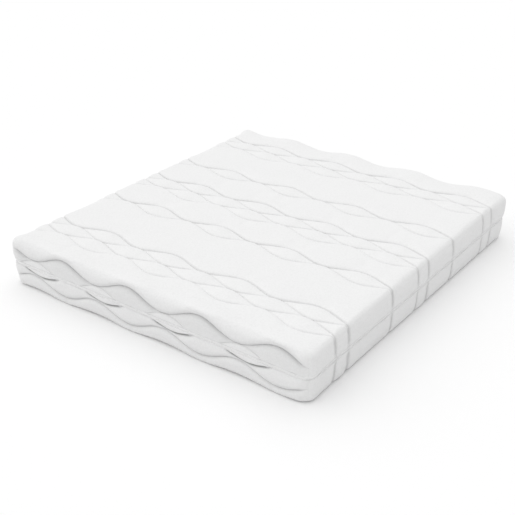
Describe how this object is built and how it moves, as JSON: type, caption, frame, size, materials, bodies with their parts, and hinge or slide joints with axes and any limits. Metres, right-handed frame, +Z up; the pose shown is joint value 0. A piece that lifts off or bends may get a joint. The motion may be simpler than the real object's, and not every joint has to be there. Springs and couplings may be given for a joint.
{
  "type": "memory foam mattress",
  "caption": "Quilted foam mattress: two-part white knit cover joined by an all-round zip at mid height, over a layered foam core that lifts out.",
  "frame": {"origin": "centre of the base, on the surface that the mattress rests on", "axes": "+Z up, +Y along the length, +X across the width"},
  "size_m": [1.8, 2, 0.25],
  "materials": {
    "cover_knit": "soft white double-jersey knit with a fine diagonal texture",
    "wadding": "bonded polyester fibre wadding",
    "lining": "thin non-woven backing",
    "thread": "white polyester thread",
    "zip_tape": "woven white tape",
    "zip_coil": "white nylon coil",
    "zip_metal": "white enamelled zinc",
    "sleeve": "fine off-white stockinette",
    "memory_foam": "cream viscoelastic foam with fine cells",
    "glue": "thin dried adhesive film",
    "transition_foam": "pale blue open-cell foam",
    "support_foam": "white open-cell support foam"
  },
  "bodies": {
    "lower_cover": {"lower_cover_knit": "cover_knit", "lower_cover_wadding": "wadding", "lower_cover_lining": "lining", "lower_quilting_thread": "thread", "lower_hem_stitching": "thread", "lower_zip_tape": "zip_tape", "lower_zip_coil": "zip_coil", "lower_zip_stops": "zip_metal"},
    "foam_core": {"core_sleeve": "sleeve", "memory_foam": "memory_foam", "upper_glue_film": "glue", "transition_foam": "transition_foam", "lower_glue_film": "glue", "support_foam": "support_foam"},
    "upper_cover": {"upper_cover_knit": "cover_knit", "upper_cover_wadding": "wadding", "upper_cover_lining": "lining", "upper_quilting_thread": "thread", "upper_hem_stitching": "thread", "upper_zip_tape": "zip_tape", "upper_zip_coil": "zip_coil", "upper_zip_stops": "zip_metal"},
    "slider": {"zip_slider": "zip_metal"},
    "tab": {"pull_tab": "zip_metal"}
  },
  "joints": [
    {"name": "core_lift", "type": "slide", "parent": "lower_cover", "child": "foam_core", "axis": [0, 0, 1], "range_m": [0, 0.3]},
    {"name": "upper_cover_lift", "type": "slide", "parent": "foam_core", "child": "upper_cover", "axis": [0, 0, 1], "range_m": [0, 0.3]},
    {"name": "zip_slide", "type": "slide", "parent": "lower_cover", "child": "slider", "axis": [0, -1, 0], "range_m": [0, 1.8]},
    {"name": "tab_swing", "type": "hinge", "parent": "slider", "child": "tab", "pos_m": [-0.8986, 0.9, 0.13], "axis": [0, 0, -1], "range_deg": [0, 170]}
  ]
}
